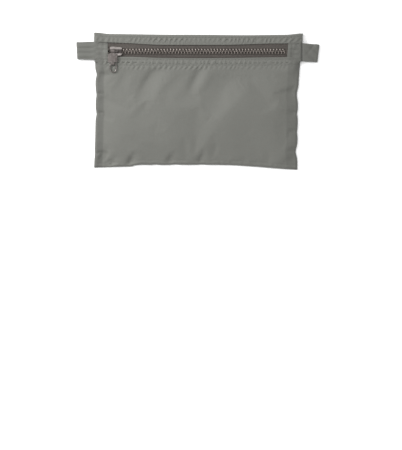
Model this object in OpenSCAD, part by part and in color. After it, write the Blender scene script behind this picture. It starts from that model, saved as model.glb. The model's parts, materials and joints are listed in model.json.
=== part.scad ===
// Small flat zip pouch for carrying banknotes, coin and deposit slips, lying on its back.
// Millimetres, +Z up. The origin is the centre of the underside: +X runs along the zipper,
// +Y towards the folded top edge and +Z out of the front.

/* [Pouch] */
// Width of the pouch between its side seams
pouch_w = 186; // [180:1:220]
// Height of the pouch from the bottom seam to the top fold
pouch_h = 120; // [110:1:150]
// Height of the front's crown above the table
crown_h = 10; // [8.5:0.5:13]
// Thickness of the cloth of the back
cloth_t = 0.6; // [0.5:0.05:0.6]
// Thickness of the front as a shell
front_t = 0.7; // [0.6:0.05:0.8]
// Width of the bound seam allowance inside the pouch
binding_w = 6; // [4:0.5:6]

/* [Zipper] */
// Distance from the top fold to the centre line of the zipper
zip_drop = 15; // [15:0.5:16]
// Length of the window that the zipper shows through
window_l = 165; // [165:1:165]
// Height of the window that the zipper shows through
window_h = 11; // [10.8:0.1:11.4]
// Width of each tape from its edge beside the teeth
tape_w = 12.2; // [11.6:0.1:12.2]
// Distance between the teeth of one side
tooth_pitch = 2.86; // [2.8:0.01:2.9]
// Number of teeth on each side
tooth_count = 55; // [40:1:55]
// How far the lower lip drops when the mouth is open
mouth_drop = 8; // [4:0.5:8]

/* [Slider] */
// Length of the slider along the zipper
slider_l = 11; // [11:0.1:11.4]
// Width of the slider at its two mouths
slider_w = 8.6; // [8.4:0.1:9]
// Width of the slider at its tail
slider_tail_w = 7.4; // [7.4:0.1:7.8]
// Distance of the slider's centre from the middle of the zipper
slider_off = 74.8; // [74.6:0.1:74.8]

/* [Pull] */
// Width of the pull tab
tab_w = 8.6; // [7:0.1:9]
// Distance between the tab's eye and the axis of its ring
tab_l = 11.8; // [11:0.1:13]
// Thickness of the tab along its middle
tab_t = 1.3; // [1.1:0.05:1.3]
// Diameter of the ring's wire
ring_wire = 1; // [0.9:0.05:1]
// Width of the ring between the centres of its two sides
ring_w = 5.7; // [5.5:0.1:6.5]
// Length of the ring between the centres of its two ends
ring_l = 7.4; // [7:0.1:8]

/* [Side loops] */
// Length of a side loop from its fold line to its outer end
loop_l = 16.5; // [14:0.5:20]
// Width of a side loop
loop_w = 16.5; // [14:0.5:17]
// Thickness of the folded tape in a side loop
loop_tape_t = 0.8; // [0.7:0.05:0.85]

/* [Hidden] */
$fn = 48;

half_w = pouch_w / 2;
half_h = pouch_h / 2;
zip_y = half_h - zip_drop;
window_x = window_l / 2;
window_y = window_h / 2;

// Levels of the flat layers, from the table upwards
binding_top = 1.3;
tape_z0 = 2.85;
tape_z1 = 3.45;
fold_z0 = tape_z1;
fold_z1 = 4.15;
teeth_z0 = 1.85;
teeth_z1 = 4.45;
stitch_t = 0.2;

// The tapes start this far from the centre line, and run in under the folded edges
tape_gap = 1.0;
tape_half_l = 87;
hem_w = 8.5;
hem_half_l = half_w - 0.5;

// Front: where the shell ends under the hem, where it is flat and where it is highest
front_end_y = zip_y - 11.5;
front_flat_y = zip_y - 25;
front_crown_y = zip_y - 57;
front_lip_share = 0.065;
front_edge_z = binding_top + front_t;
front_cols = 26;
front_rows = 20;

// Teeth
teeth_x0 = -75.9;
tooth_reach = 0.9;
tooth_root = 2.8;

// Slider shells around the teeth, with a slot at each side for the tapes
plate_t = 0.8;
lower_plate_z = 0.9;
upper_plate_z = 4.6;
slider_top = upper_plate_z + plate_t;
slot_z0 = 2.65;
slot_z1 = 3.65;
channel_half = 2.95;
pocket_z = 4.95;

// Crown, eye and ring axes
bar_r = 0.75;
bar_z = slider_top + 1.75;
eye_r = 1.5;
eye_bore_r = 0.85;
eye_w = 3.4;
pull_x = -77.6;
barrel_r = 1;
barrel_bore_r = 0.6;
barrel_w = 2.8;
ring_shift = 0.5;
tab_tilt = 7.3;
ring_tilt = 4.2;
ring_corner_r = 0.85;
ring_axis_y = zip_y - tab_l * cos(tab_tilt);
ring_axis_z = bar_z - tab_l * sin(tab_tilt);

// Side loops fold about a line just outside the seams
loop_z = 1.95;
loop_slot = 0.7;
loop_r = loop_tape_t + loop_slot / 2;
loop_axis_x = half_w + loop_r + 0.3;
tail_l = 9;
tail_t = 1.3;

cloth_colour = "#80817A";
shade_colour = "#74756E";
tape_colour = "#57534F";
tooth_colour = "#6B645E";
metal_colour = "#9A938E";
thread_colour = "#6E6F68";

// Points along an arc, from one angle to another
function arc(centre, r, from, to, steps) =
    [for (i = [0:steps]) let (a = from + (to - from) * i / steps) centre + r * [cos(a), sin(a)]];

// The same points below the X axis, in reverse
function below(points) = [for (i = [len(points) - 1:-1:0]) [points[i][0], -points[i][1]]];

// A box given by its lowest and highest corners
module block(low, high) {
    translate(low) cube(high - low);
}

// Draws its children at both ends of the pouch
module each_end() {
    children();
    mirror([1, 0, 0]) children();
}

// Height share of the front's outside across the width and along the height
function front_across(x) = 1 - pow(abs(x) / half_w, 3.4);
function front_along(y) =
    y <= front_crown_y
        ? pow(sin(90 * (y + half_h) / (front_crown_y + half_h)), 0.6)
        : y >= front_flat_y
            ? front_lip_share
            : let (t = (y - front_crown_y) / (front_flat_y - front_crown_y))
              1 - (1 - front_lip_share) * t * t * (3 - 2 * t);
function front_z(x, y) =
    front_edge_z + (crown_h - front_edge_z) * max(0, front_across(x)) * front_along(y);

module back_panel() {
    color(cloth_colour)
        translate([-half_w, -half_h, 0])
            linear_extrude(cloth_t) square([pouch_w, pouch_h]);
}

module front_panel() {
    cols = front_cols;
    rows = front_rows;
    span_y = front_end_y + half_h;
    // Columns and rows bunch up towards the edges, where the cloth turns over
    xs = [for (i = [0:cols]) -half_w * cos(180 * i / cols)];
    ys = [for (j = [0:rows]) front_end_y - span_y * sin(90 * (1 - j / rows))];
    outside = [for (y = ys, x = xs) [x, y, front_z(x, y)]];
    inside = [for (p = outside) p - [0, 0, front_t]];
    n = cols + 1;
    skip = len(outside);
    top_faces = [
        for (j = [0:rows - 1], i = [0:cols - 1]) each [
            [j * n + i, (j + 1) * n + i, (j + 1) * n + i + 1],
            [j * n + i, (j + 1) * n + i + 1, j * n + i + 1]
        ]
    ];
    under_faces = [for (f = top_faces) [f[2] + skip, f[1] + skip, f[0] + skip]];
    rim = concat(
        [for (i = [0:cols - 1]) i],
        [for (j = [0:rows - 1]) j * n + cols],
        [for (i = [cols:-1:1]) rows * n + i],
        [for (j = [rows:-1:1]) j * n]
    );
    rim_faces = [
        for (k = [0:len(rim) - 1]) let (a = rim[k], b = rim[(k + 1) % len(rim)]) each [
            [a, b, b + skip],
            [a, b + skip, a + skip]
        ]
    ];
    color(cloth_colour)
        polyhedron(concat(outside, inside), concat(top_faces, under_faces, rim_faces), convexity = 4);
}

// Cloth folded over the top edge and down onto the upper tape
module top_band() {
    bend = 1.7;
    bend_at = [half_h - bend, fold_z1 - bend];
    wall = fold_z1 - fold_z0;
    profile = concat(
        [[half_h, cloth_t]],
        arc(bend_at, bend, 0, 90, 10),
        [[zip_y + window_y, fold_z1], [zip_y + window_y, fold_z0]],
        arc(bend_at, bend - wall, 90, 0, 8),
        [[half_h - wall, cloth_t]]
    );
    color(cloth_colour)
        translate([-half_w, 0, 0])
            rotate([90, 0, 90]) linear_extrude(pouch_w) polygon(profile);
}

// Folded edge of the front, sewn onto the lower tape
module lower_hem() {
    color(cloth_colour)
        block(
            [-hem_half_l, zip_y - window_y - hem_w, fold_z0],
            [hem_half_l, zip_y - window_y, fold_z1]
        );
}

// Cloth between the window and the side seam, turned down onto the loop's tail
module zip_end() {
    sew_gap = 0.1;
    y0 = zip_y - window_y + sew_gap;
    y1 = zip_y + window_y;
    z0 = fold_z0 + 0.05;
    union() {
        block([-half_w, y0, z0], [-window_x, y1, fold_z1]);
        block([-half_w, y0, loop_z + tail_t / 2], [-half_w + 0.7, y1, z0]);
    }
}

module left_zip_end() {
    color(cloth_colour) zip_end();
}

module right_zip_end() {
    color(cloth_colour) mirror([1, 0, 0]) zip_end();
}

// Bound seam allowances, between the back and the front
module side_binding() {
    block([-half_w, -half_h, cloth_t], [-half_w + binding_w, half_h - 0.7, binding_top]);
}

module left_seam_binding() {
    color(shade_colour) side_binding();
}

module right_seam_binding() {
    color(shade_colour) mirror([1, 0, 0]) side_binding();
}

module bottom_seam_binding() {
    reach = half_w - binding_w;
    color(shade_colour)
        block([-reach, -half_h, cloth_t], [reach, -half_h + binding_w, binding_top]);
}

// One tape, lying on the +Y side of the centre line
module tape() {
    block([-tape_half_l, tape_gap, tape_z0], [tape_half_l, tape_gap + tape_w, tape_z1]);
}

module upper_tape() {
    color(tape_colour) translate([0, zip_y, 0]) tape();
}

module lower_tape() {
    color(tape_colour) translate([0, zip_y, 0]) mirror([0, 1, 0]) tape();
}

// A row of moulded teeth on the +Y side, clipped over the edge of their tape
module teeth(first_x) {
    right_side = [
        [0.34, -tooth_reach], [0.62, -0.55], [0.62, 0.25], [0.45, 0.8], [0.8, 1.3], [0.8, tooth_root]
    ];
    left_side = [for (i = [len(right_side) - 1:-1:0]) [-right_side[i][0], right_side[i][1]]];
    difference() {
        for (i = [0:tooth_count - 1])
            translate([first_x + i * tooth_pitch, 0, teeth_z0])
                linear_extrude(teeth_z1 - teeth_z0) polygon(concat(right_side, left_side));
        block([-half_w, tape_gap, tape_z0], [half_w, tooth_root + 1, tape_z1]);
    }
}

module upper_teeth() {
    color(tooth_colour) translate([0, zip_y, 0]) teeth(teeth_x0);
}

module lower_teeth() {
    color(tooth_colour)
        translate([0, zip_y, 0]) mirror([0, 1, 0]) teeth(teeth_x0 + tooth_pitch / 2);
}

// Clips over the ends of the two tapes, where the slider rests when the pouch is shut
module top_stops() {
    color(tooth_colour)
        translate([0, zip_y, 0])
            for (side = [0, 1])
                mirror([0, side, 0])
                    difference() {
                        block([-82.4, 0.8, teeth_z0], [-80.9, 3, teeth_z1]);
                        block([-83, tape_gap, tape_z0], [-80, 3.5, tape_z1]);
                    }
}

// One moulded block across both tapes, where the slider rests when the pouch is open
module bottom_stop() {
    color(tooth_colour)
        translate([0, zip_y, 0])
            difference() {
                block([80.9, -3, teeth_z0], [82.4, 3, teeth_z1]);
                for (side = [0, 1])
                    mirror([0, side, 0])
                        block([80, tape_gap, tape_z0], [83, 3.5, tape_z1]);
            }
}

// Lockstitches in a row along X
module stitch_row(y) {
    stitch_l = 2.1;
    stitch_pitch = 3;
    count = floor((hem_half_l - 2) / stitch_pitch);
    for (i = [-count:count])
        translate([i * stitch_pitch - stitch_l / 2, y - 0.2, fold_z1])
            cube([stitch_l, 0.4, stitch_t]);
}

// Distances of the two rows from the centre line of the zipper
inner_row = 7.5;
outer_row = 12.5;

module upper_stitching() {
    color(thread_colour) {
        stitch_row(zip_y + inner_row);
        stitch_row(zip_y + outer_row);
    }
}

module lower_stitching() {
    color(thread_colour) {
        stitch_row(zip_y - inner_row);
        stitch_row(zip_y - outer_row);
    }
}

// Stitches across the zipper's end, in a row along Y
module end_row() {
    for (i = [-1:1])
        translate([-window_x - 2.4, zip_y + i * 3 - 1.05, fold_z1])
            cube([0.4, 2.1, stitch_t]);
}

module left_end_stitching() {
    color(thread_colour) end_row();
}

module right_end_stitching() {
    color(thread_colour) mirror([1, 0, 0]) end_row();
}

// Outline of the slider seen from above, with the two mouths at -X
module slider_outline(inset) {
    mouth_r = 2.2;
    tail_r = 1.2;
    mouth_half = slider_w / 2 - inset;
    tail_half = slider_tail_w / 2 - inset;
    upper = concat(
        arc([-slider_l / 2 + mouth_r, mouth_half - mouth_r], mouth_r, 180, 90, 8),
        arc([slider_l / 2 - tail_r, tail_half - tail_r], tail_r, 90, 0, 6)
    );
    polygon(concat(upper, below(upper)));
}

// Space that the two rows of teeth pass through, one at each side of the divider
module slider_channel() {
    reach = slider_l / 2 + 1;
    polygon([
        [-reach, slider_w / 2 - 0.75], [-1, channel_half], [reach, channel_half],
        [reach, -channel_half], [-1, -channel_half], [-reach, -slider_w / 2 + 0.75]
    ]);
}

module slider_body() {
    prong_x = 0.3;
    color(metal_colour)
        translate([-slider_off, zip_y, 0])
            difference() {
                union() {
                    difference() {
                        translate([0, 0, lower_plate_z])
                            linear_extrude(slider_top - lower_plate_z) slider_outline(0);
                        translate([0, 0, lower_plate_z + plate_t])
                            linear_extrude(upper_plate_z - lower_plate_z - plate_t) slider_channel();
                        block([-slider_l, -slider_w, slot_z0], [slider_l, slider_w, slot_z1]);
                    }
                    // Divider between the two mouths, which carries the upper plate
                    translate([0, 0, lower_plate_z + plate_t / 2])
                        linear_extrude(upper_plate_z - lower_plate_z)
                            polygon([
                                [-5.1, 0.5], [-4.2, 0.8], [-2.6, 0.25],
                                [-2.6, -0.25], [-4.2, -0.8], [-5.1, -0.5]
                            ]);
                }
                // Pocket for the lock spring, and the hole for its prong
                block([-3.9, -1, pocket_z], [0.9, 1, slider_top + 1]);
                translate([prong_x, 0, upper_plate_z - 1]) cylinder(r = 0.5, h = 3);
            }
}

// Two legs and the bar that the pull hangs on
module slider_crown() {
    leg_half = 1.2;
    legs = [[-80.2, -79.5], [-73.7, -72.9]];
    color(metal_colour)
        translate([0, zip_y, 0])
            union() {
                for (leg = legs)
                    translate([leg[0], 0, 0])
                        rotate([90, 0, 90])
                            linear_extrude(leg[1] - leg[0])
                                union() {
                                    translate([-leg_half, slider_top])
                                        square([2 * leg_half, bar_z - slider_top]);
                                    translate([0, bar_z]) circle(r = leg_half);
                                }
                translate([legs[0][1] - 0.2, 0, bar_z])
                    rotate([0, 90, 0])
                        cylinder(r = bar_r, h = legs[1][0] - legs[0][1] + 0.4);
            }
}

// Leaf that holds the slider where it is left, with a prong down to the teeth
module lock_spring() {
    leaf_t = 0.25;
    color("#B8B2A8")
        translate([-slider_off, zip_y, 0])
            union() {
                block([-3.7, -0.8, pocket_z], [0.7, 0.8, pocket_z + leaf_t]);
                translate([0.3, 0, upper_plate_z + 0.05])
                    cylinder(r = 0.35, h = pocket_z + leaf_t / 2 - upper_plate_z);
            }
}

// Faceted tab between the eye on the crown's bar and the barrel that holds the ring
module pull_tab() {
    face_half = 1.8;
    rim_half = 0.25;
    start = 2.5;
    finish = tab_l - 1.6;
    half = tab_w / 2;
    t = tab_t / 2;
    section = [
        [-half, -rim_half], [-face_half, -t], [face_half, -t], [half, -rim_half],
        [half, rim_half], [face_half, t], [-face_half, t], [-half, rim_half]
    ];
    color(metal_colour)
        translate([pull_x, zip_y, bar_z])
            rotate([tab_tilt, 0, 0])
                difference() {
                    union() {
                        translate([0, -start, 0])
                            rotate([90, 0, 0]) linear_extrude(finish - start) polygon(section);
                        block([-eye_w / 2, -start - 0.3, -0.6], [eye_w / 2, 0, 0.6]);
                        block([-barrel_w / 2, -tab_l, -0.55], [barrel_w / 2, -finish + 0.3, 0.55]);
                        translate([-eye_w / 2, 0, 0]) rotate([0, 90, 0]) cylinder(r = eye_r, h = eye_w);
                        translate([-barrel_w / 2, -tab_l, 0])
                            rotate([0, 90, 0]) cylinder(r = barrel_r, h = barrel_w);
                    }
                    translate([-eye_w, 0, 0]) rotate([0, 90, 0]) cylinder(r = eye_bore_r, h = 2 * eye_w);
                    translate([-eye_w, -tab_l, 0])
                        rotate([0, 90, 0]) cylinder(r = barrel_bore_r, h = 2 * eye_w);
                }
}

// A quarter or half turn of the ring's wire, about its own centre
module wire_arc(centre, r, from, sweep) {
    translate(centre)
        rotate([0, 0, from])
            rotate_extrude(angle = sweep) translate([r, 0]) circle(r = ring_wire / 2);
}

// Wire ring whose straight side turns in the tab's barrel
module pull_ring() {
    half = ring_w / 2;
    wire_r = ring_wire / 2;
    bar_half = half - ring_corner_r;
    side_l = ring_l - half - ring_corner_r;
    color(metal_colour)
        translate([pull_x + ring_shift, ring_axis_y, ring_axis_z])
            rotate([ring_tilt, 0, 0])
                union() {
                    translate([-bar_half, 0, 0]) rotate([0, 90, 0]) cylinder(r = wire_r, h = 2 * bar_half);
                    wire_arc([bar_half, -ring_corner_r, 0], ring_corner_r, 0, 90);
                    wire_arc([-bar_half, -ring_corner_r, 0], ring_corner_r, 90, 90);
                    for (side = [-1, 1])
                        translate([side * half, -ring_corner_r, 0])
                            rotate([90, 0, 0]) cylinder(r = wire_r, h = side_l);
                    wire_arc([0, half - ring_l, 0], half, 180, 180);
                }
}

// Flattened loop of tape outside the left seam, rounded about its fold line
module loop() {
    length = loop_l - loop_r;
    module slot_shape(r) {
        circle(r = r);
        translate([-length + loop_r, 0]) circle(r = r);
        translate([-length + loop_r, -r]) square([length - loop_r, 2 * r]);
    }
    translate([-loop_axis_x, zip_y + loop_w / 2, loop_z])
        rotate([90, 0, 0])
            linear_extrude(loop_w)
                difference() {
                    slot_shape(loop_r);
                    slot_shape(loop_slot / 2);
                }
}

// End of the loop's tape, caught in the side seam
module loop_tail() {
    block(
        [-half_w, zip_y - loop_w / 2, loop_z - tail_t / 2],
        [-half_w + tail_l, zip_y + loop_w / 2, loop_z + tail_t / 2]
    );
}

module left_loop() {
    color(cloth_colour) loop();
}

module right_loop() {
    color(cloth_colour) mirror([1, 0, 0]) loop();
}

module left_loop_tail() {
    color(shade_colour) loop_tail();
}

module right_loop_tail() {
    color(shade_colour) mirror([1, 0, 0]) loop_tail();
}

back_panel();
front_panel();
top_band();
lower_hem();
left_zip_end();
right_zip_end();
left_seam_binding();
right_seam_binding();
bottom_seam_binding();
upper_tape();
lower_tape();
upper_teeth();
lower_teeth();
top_stops();
bottom_stop();
upper_stitching();
lower_stitching();
left_end_stitching();
right_end_stitching();
slider_body();
slider_crown();
lock_spring();
pull_tab();
pull_ring();
left_loop();
right_loop();
left_loop_tail();
right_loop_tail();
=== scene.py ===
import json
import math

import bpy
import numpy as np
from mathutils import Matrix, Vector


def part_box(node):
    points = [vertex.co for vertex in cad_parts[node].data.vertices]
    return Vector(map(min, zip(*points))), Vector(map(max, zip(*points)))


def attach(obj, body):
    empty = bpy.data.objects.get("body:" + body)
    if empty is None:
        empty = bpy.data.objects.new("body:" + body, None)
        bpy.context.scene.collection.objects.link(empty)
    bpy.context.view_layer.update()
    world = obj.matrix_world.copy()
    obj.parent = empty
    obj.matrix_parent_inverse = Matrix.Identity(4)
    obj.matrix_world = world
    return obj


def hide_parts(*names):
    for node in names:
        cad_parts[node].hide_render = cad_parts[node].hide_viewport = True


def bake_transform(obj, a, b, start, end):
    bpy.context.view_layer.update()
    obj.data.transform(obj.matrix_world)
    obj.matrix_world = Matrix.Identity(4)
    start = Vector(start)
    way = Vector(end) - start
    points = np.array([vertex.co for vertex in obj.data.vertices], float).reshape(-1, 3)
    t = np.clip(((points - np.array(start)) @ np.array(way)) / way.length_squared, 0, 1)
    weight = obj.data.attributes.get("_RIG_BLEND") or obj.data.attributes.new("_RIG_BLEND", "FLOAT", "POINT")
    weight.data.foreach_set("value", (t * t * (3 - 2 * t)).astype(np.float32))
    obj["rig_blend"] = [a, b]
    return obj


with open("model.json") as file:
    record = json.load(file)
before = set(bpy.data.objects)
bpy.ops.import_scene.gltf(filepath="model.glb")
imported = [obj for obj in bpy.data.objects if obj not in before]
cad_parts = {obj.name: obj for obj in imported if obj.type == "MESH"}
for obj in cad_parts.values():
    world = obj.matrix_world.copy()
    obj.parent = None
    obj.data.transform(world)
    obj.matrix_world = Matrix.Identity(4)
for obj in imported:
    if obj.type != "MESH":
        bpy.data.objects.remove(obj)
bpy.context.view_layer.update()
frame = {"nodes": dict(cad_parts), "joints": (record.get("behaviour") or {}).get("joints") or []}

# A small zip pouch of woven nylon, lying on its back. In the functions below, u and v are places on
# its flat pattern, in millimetres from the middle, and place() turns them into x and y.

# ------------------------------------------------------------------ sizes, in millimetres
MM = 0.001


def lowest(node):
    """The lowest corner of a CAD node at rest, in millimetres."""
    return [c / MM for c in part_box(node)[0]]


def highest(node):
    """The highest corner of a CAD node at rest, in millimetres."""
    return [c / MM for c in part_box(node)[1]]


HALF_W = highest("back_panel")[0]
HALF_H = highest("back_panel")[1]
ZIP_Y = (lowest("slider_body")[1] + highest("slider_body")[1]) / 2
WINDOW_X = lowest("right_zip_end")[0]
LIP_Z = highest("lower_hem")[2]
LIP_Y = highest("lower_hem")[1]
BAND_Y = lowest("top_band")[1]
TAPE_TOP_Z = highest("lower_tape")[2]
TAPE_LOW_Z = lowest("lower_tape")[2]
OPEN_FROM = highest("top_stops")[0]                         # the open chain parts from here
SLIDER_TRAVEL = next(j for j in frame["joints"] if j["name"] == "slider_travel")["range_m"][1] / MM
OPEN_TO = lowest("slider_body")[0] + SLIDER_TRAVEL + 2      # to here

CLOTH = 0.32            # thickness of the pouch cloth
PATCH_CLOTH = 0.2       # and of the other strips
BINDING_CLOTH = 0.18
LOOP_CLOTH = 0.55
TOP_BEND = 1.7          # radius of the fold along the top edge
FOLD = 0.34             # radius of the folded lips beside the zip
END_COVER = 1.2         # how far the end patches reach over the stops
TURN_UNDER = 5.0        # how far the lips are turned under
NEAR_ZIP = 22           # from here up the front's cloth follows the line of the lip
LIP_HINGE = -28         # from here up the front bends with the opening lip
SWELL = 1.9             # how far the lying pouch swells above its lips
SIDE_ROUNDING = 6.5     # how far from the side seam the pouch rounds off, beside the zip
LIP_CURL = 0.35         # how far the folded lips stand up at the zip
LIP_BOW = 0.9           # how far the lower lip sags at mid length
LEFT_BAND_BOW = 2.1     # how far the upper lip rises towards its left end
RIGHT_BAND_BOW = 1.2    # and towards its right end
ROW_OFFSETS = (7.5, 12.5)   # stitch rows, from the zip's centre line
END_ROW = 2.2           # the short stitch rows, from the ends of the window
STITCH_PITCH = 3.0
STITCH_LENGTH = 2.2
THREAD_R = 0.17
THREAD_SIDES = 6
BOTTOM_ROW = 3.8        # the groove of the bottom seam, from the edge
LIP_PUCKERS = 0.46      # height of the small pleats between the rows below the zip
BAND_PUCKERS = 0.60     # and above it
PUCKER_PITCH = 4.6      # from one small pleat beside the stitches to the next
LEFT_STRIP = 7.5        # width over which the seam allowance shows through at the left
RIGHT_STRIP = 10.5      # and at the right
LEFT_SHADE, RIGHT_SHADE = 1.2, 0.65     # how strongly it shows there
LEFT_PATCH_SHADE, RIGHT_PATCH_SHADE = 0.6, 0.4      # and how dark the end patches are
BACK_EDGE_Z = 0.15      # the back's edge, turned up a little from the table
SEAM_Z = BACK_EDGE_Z + 2 * CLOTH
BINDING_LOW = 0.6       # the binding tape inside the pouch, from below
BINDING_TOP = 0.96      # to above
BINDING_FROM = 0.9      # and from the seam
BINDING_TO = 6.0        # inwards
LOOP_TOP_Z = highest("left_loop")[2]


def smooth(t):
    """Rises from 0 to 1 while t does, with soft ends."""
    t = np.clip(t, 0.0, 1.0)
    return t * t * (3 - 2 * t)


def hill(d, width):
    """1 at no distance, and soon 0 beyond the width."""
    return np.exp(-((d / width) ** 2))


# ------------------------------------------------------------------ repeatable noise
LATTICE = 64


def lattice(seed):
    """The random heights that the noise runs through, always the same for a seed."""
    return np.random.RandomState(seed).uniform(-1, 1, (LATTICE, LATTICE))


def noise(x, y, cell, seed):
    """Smooth noise from -1 to 1 with features about one cell wide."""
    table = lattice(seed)
    fx, fy = np.asarray(x) / cell + 200, np.asarray(y) / cell + 200
    ix, iy = np.floor(fx).astype(int), np.floor(fy).astype(int)
    tx, ty = smooth(fx - ix), smooth(fy - iy)

    def at(i, j):
        return table[(ix + i) % LATTICE, (iy + j) % LATTICE]

    near = at(0, 0) * (1 - tx) + at(1, 0) * tx
    far = at(0, 1) * (1 - tx) + at(1, 1) * tx
    return near * (1 - ty) + far * ty


# ------------------------------------------------------------------ outline of the sewn pouch
# Where the seam thread pulls an edge in: place along the edge, depth, half width.
LEFT_PULLS = ((24, 1.1, 3.5), (5.5, 0.7, 4), (-12, 0.85, 3.5), (-48, 0.3, 3))
RIGHT_PULLS = ((6, 1.2, 5), (-12, 0.6, 3), (-28, 0.5, 3), (-44, 1.6, 4.5))
BOTTOM_PULLS = ((-50, 0.5, 7), (-38, 0.5, 3), (-20, 0.4, 4), (4, 0.3, 4))
STRAIGHT_TO = 55        # from here outwards the pattern follows the outline of the sides


def pulls(t, places):
    """How far the edge is drawn in at t."""
    return sum(depth * hill(t - at, width) for at, depth, width in places)


def left_edge(v):
    return -(HALF_W + 0.4 + 1.4 * (v / HALF_H) ** 2) + pulls(v, LEFT_PULLS)


def right_edge(v):
    up, down = np.maximum(v, 0), np.minimum(v, 0)
    return HALF_W - 1 + 0.03 * up + 0.0008 * up**2 + 0.01 * down - pulls(v, RIGHT_PULLS)


def bottom_edge(u):
    sag = 1.6 * (u / HALF_W) ** 2 + 2.8 * smooth((u - 20) / 73) + 0.9 * smooth((-57 - u) / 4)
    return -(HALF_H - 1.2 + sag) + pulls(u, BOTTOM_PULLS)


def top_edge(u):
    lift = 0.8 * smooth(-u / 60) + 1.2 * smooth((abs(u) - 78) / 14)
    return HALF_H + 0.2 + 0.2 * np.cos(u / 14) + lift


def place(u, v):
    """Where a point of the flat pattern lies on the sewn pouch, seen from above."""
    left = smooth((-u - STRAIGHT_TO) / (HALF_W - STRAIGHT_TO))
    right = smooth((u - STRAIGHT_TO) / (HALF_W - STRAIGHT_TO))
    bottom = smooth((-v - 10) / (HALF_H - 10))
    top = np.clip((v - ZIP_Y - 6) / (HALF_H - ZIP_Y - 6), 0, 1)
    x = u + (left_edge(v) + HALF_W) * left + (right_edge(v) - HALF_W) * right
    y = v + (bottom_edge(u) + HALF_H) * bottom + (top_edge(u) - HALF_H) * top
    return x, y


# ------------------------------------------------------------------ relief of the front
# Valleys and ridges of the lying cloth: three points of a curved line, height (negative for a
# valley), and the half widths of its two flanks.
FOLDS = (
    (((-33, 33), (-44, 21), (-51, 7)), -1.4, 4, 7),
    (((-20, 32), (-29, 17), (-41, 2)), 0.8, 7, 8),
    (((5, 33), (-1, 21), (-7, 9)), -1.3, 4, 5),
    (((12, 33), (7, 21), (0, 9)), 0.95, 5, 7),
    (((32, 24), (24, 12), (12, -4)), -0.9, 9, 7),
    (((-62, 31), (-68, 20), (-72, 6)), -0.45, 5, 6),
    (((-92, 3), (-80, -1), (-64, -8)), -0.6, 5, 4),
    (((78, 29), (85, 24), (92, 18)), 0.6, 3, 3),
    (((90, -42), (80, -49), (72, -57)), 1.1, 7, 6),
    (((54, 12), (32, -8), (18, -26)), 2.0, 9, 30),
    (((14, -14), (27, -28), (40, -44)), 0.9, 12, 9),
    (((15, -40), (16, -45), (14, -50)), -0.5, 4, 3),
    (((-86, -33), (-66, -36), (-46, -44)), -0.25, 8, 8),
    (((-82, -45), (-84.5, -50), (-87, -55)), -1.8, 4, 4),
    (((-76, -53), (-79, -57), (-82, -61)), -2.0, 4, 4),
    (((93, 12), (86, 9), (74, 6)), -0.8, 3, 3),
    (((84, -4), (70, -9), (56, -18)), 0.6, 5, 6),
    (((-93, 24), (-88, 23), (-83, 23)), -0.6, 2.5, 2.5),
    (((-93, -13), (-88, -14), (-80, -17)), -0.6, 3, 3),
)
BOTTOM_PUCKERS = ((-61, -1.5), (-25, -1.0), (3, -0.9))      # place along the bottom, height


def along(points, count=81):
    """Points of a smooth line through three points."""
    t = np.linspace(0, 1, count)[:, None]
    a, m, b = (np.array(p, float) for p in points)
    mid = 2 * m - (a + b) / 2
    return a * (1 - t) ** 2 + 2 * mid * t * (1 - t) + b * t**2


def fold(u, v, points, height, left_width, right_width):
    """The height of one fold at the points (u, v)."""
    line = along(points)
    heading = np.gradient(line, axis=0)
    heading /= np.linalg.norm(heading, axis=1)[:, None]
    distance = (u[..., None] - line[:, 0]) ** 2 + (v[..., None] - line[:, 1]) ** 2
    nearest = np.argmin(distance, axis=-1)
    du, dv = u - line[nearest, 0], v - line[nearest, 1]
    along_u, along_v = heading[nearest, 0], heading[nearest, 1]
    side = dv * along_u - du * along_v
    run = du * along_u + dv * along_v
    width = np.where(side * np.where(along_v < 0, 1.0, -1.0) > 0, right_width, left_width)
    fade = 0.35 + 0.65 * np.sin(np.pi * nearest / (len(line) - 1))
    return height * fade * hill(side, width) * hill(run, 0.5 * (left_width + right_width))


def seam_height(v):
    """The height of the side seam, which is higher where a loop is sewn in."""
    return SEAM_Z + (LOOP_TOP_Z + CLOTH - SEAM_Z) * smooth((v - ZIP_Y + 13) / 6)


def edge_rise(distance, reach):
    """The rounded rise from 0 at an edge to 1 at the reach."""
    return 1 - (1 - np.clip(distance / reach, 0, 1)) ** 2.2


def closed_at_seam(z, inset):
    """Brings the cloth down to the seam line at the very edge."""
    return SEAM_Z + (z - SEAM_Z) * edge_rise(inset, 0.6)


def above_binding(z, inset):
    """Keeps the deepest valleys above the binding tape that lies along the seams."""
    limit = SEAM_Z + (BINDING_TOP + CLOTH - SEAM_Z) * smooth(inset / 1.2)
    gap = z - limit
    return limit + (gap + np.sqrt(gap**2 + 0.15**2)) / 2


def pucker(u, v, centre, reach, slant, seed):
    """Small pleats that the stitching draws in the cloth between or beside two rows."""
    shift = 2.0 * noise(u, v * 0, 10, seed)
    lean = slant * (1 + 0.8 * noise(u, v * 0, 14, seed + 2))
    wave = np.sin(2 * np.pi * (u - lean * (v - centre) + shift) / PUCKER_PITCH)
    size = 0.4 + 0.6 * smooth(0.5 + 0.9 * noise(u, v * 0, 8, seed + 1))
    return size * wave * np.cos(np.clip((v - centre) / reach, -1, 1) * np.pi / 2) ** 2


def rows(v, *places):
    """The groove that the rows of stitches press into the cloth."""
    return sum(-0.16 * hill(v - p, 0.7) for p in places)


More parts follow.
